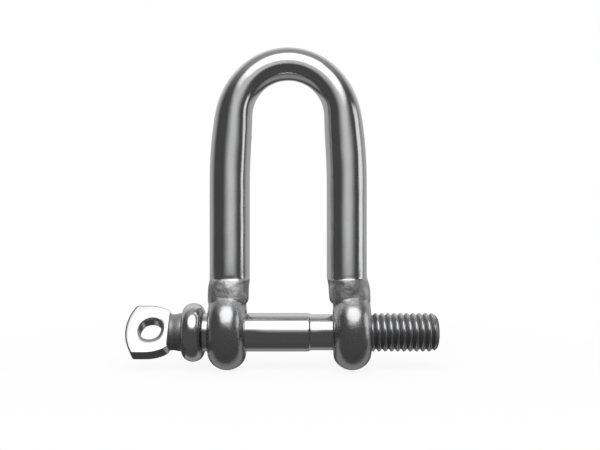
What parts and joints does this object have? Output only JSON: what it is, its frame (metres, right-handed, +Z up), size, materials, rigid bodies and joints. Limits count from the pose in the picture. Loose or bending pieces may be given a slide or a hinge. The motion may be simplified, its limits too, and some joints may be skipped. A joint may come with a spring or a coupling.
{
  "type": "screw pin shackle",
  "caption": "Long D-shaped shackle: a forged bow whose eyes are closed by a screw pin with a collar, a flat drilled head and a threaded end that stands proud.",
  "frame": {"origin": "on the pin's axis, midway between the legs", "axes": "+X along the pin towards its threaded end, +Z up the legs towards the crown, +Y out of the back of the bow"},
  "size_m": [0.0622, 0.0158, 0.0643],
  "materials": {
    "bow_steel": "polished forged stainless steel",
    "pin_steel": "polished turned stainless steel"
  },
  "bodies": {
    "bow": {"shackle_body": "bow_steel"},
    "collar": {"pin_collar": "pin_steel"},
    "pin": {"screw_pin": "pin_steel"}
  },
  "joints": [
    {"name": "pin_travel", "type": "slide", "parent": "bow", "child": "collar", "axis": [-1, 0, 0], "range_m": [-0.00075, 0.03844]},
    {"name": "pin_turn", "type": "hinge", "parent": "collar", "child": "pin", "pos_m": [0, 0, 0], "axis": [-1, 0, 0], "range_deg": [-216, 11070]}
  ],
  "couplings": [
    {"joint": "pin_travel", "follows": "pin_turn", "m_per_rad": 0.00019894}
  ]
}
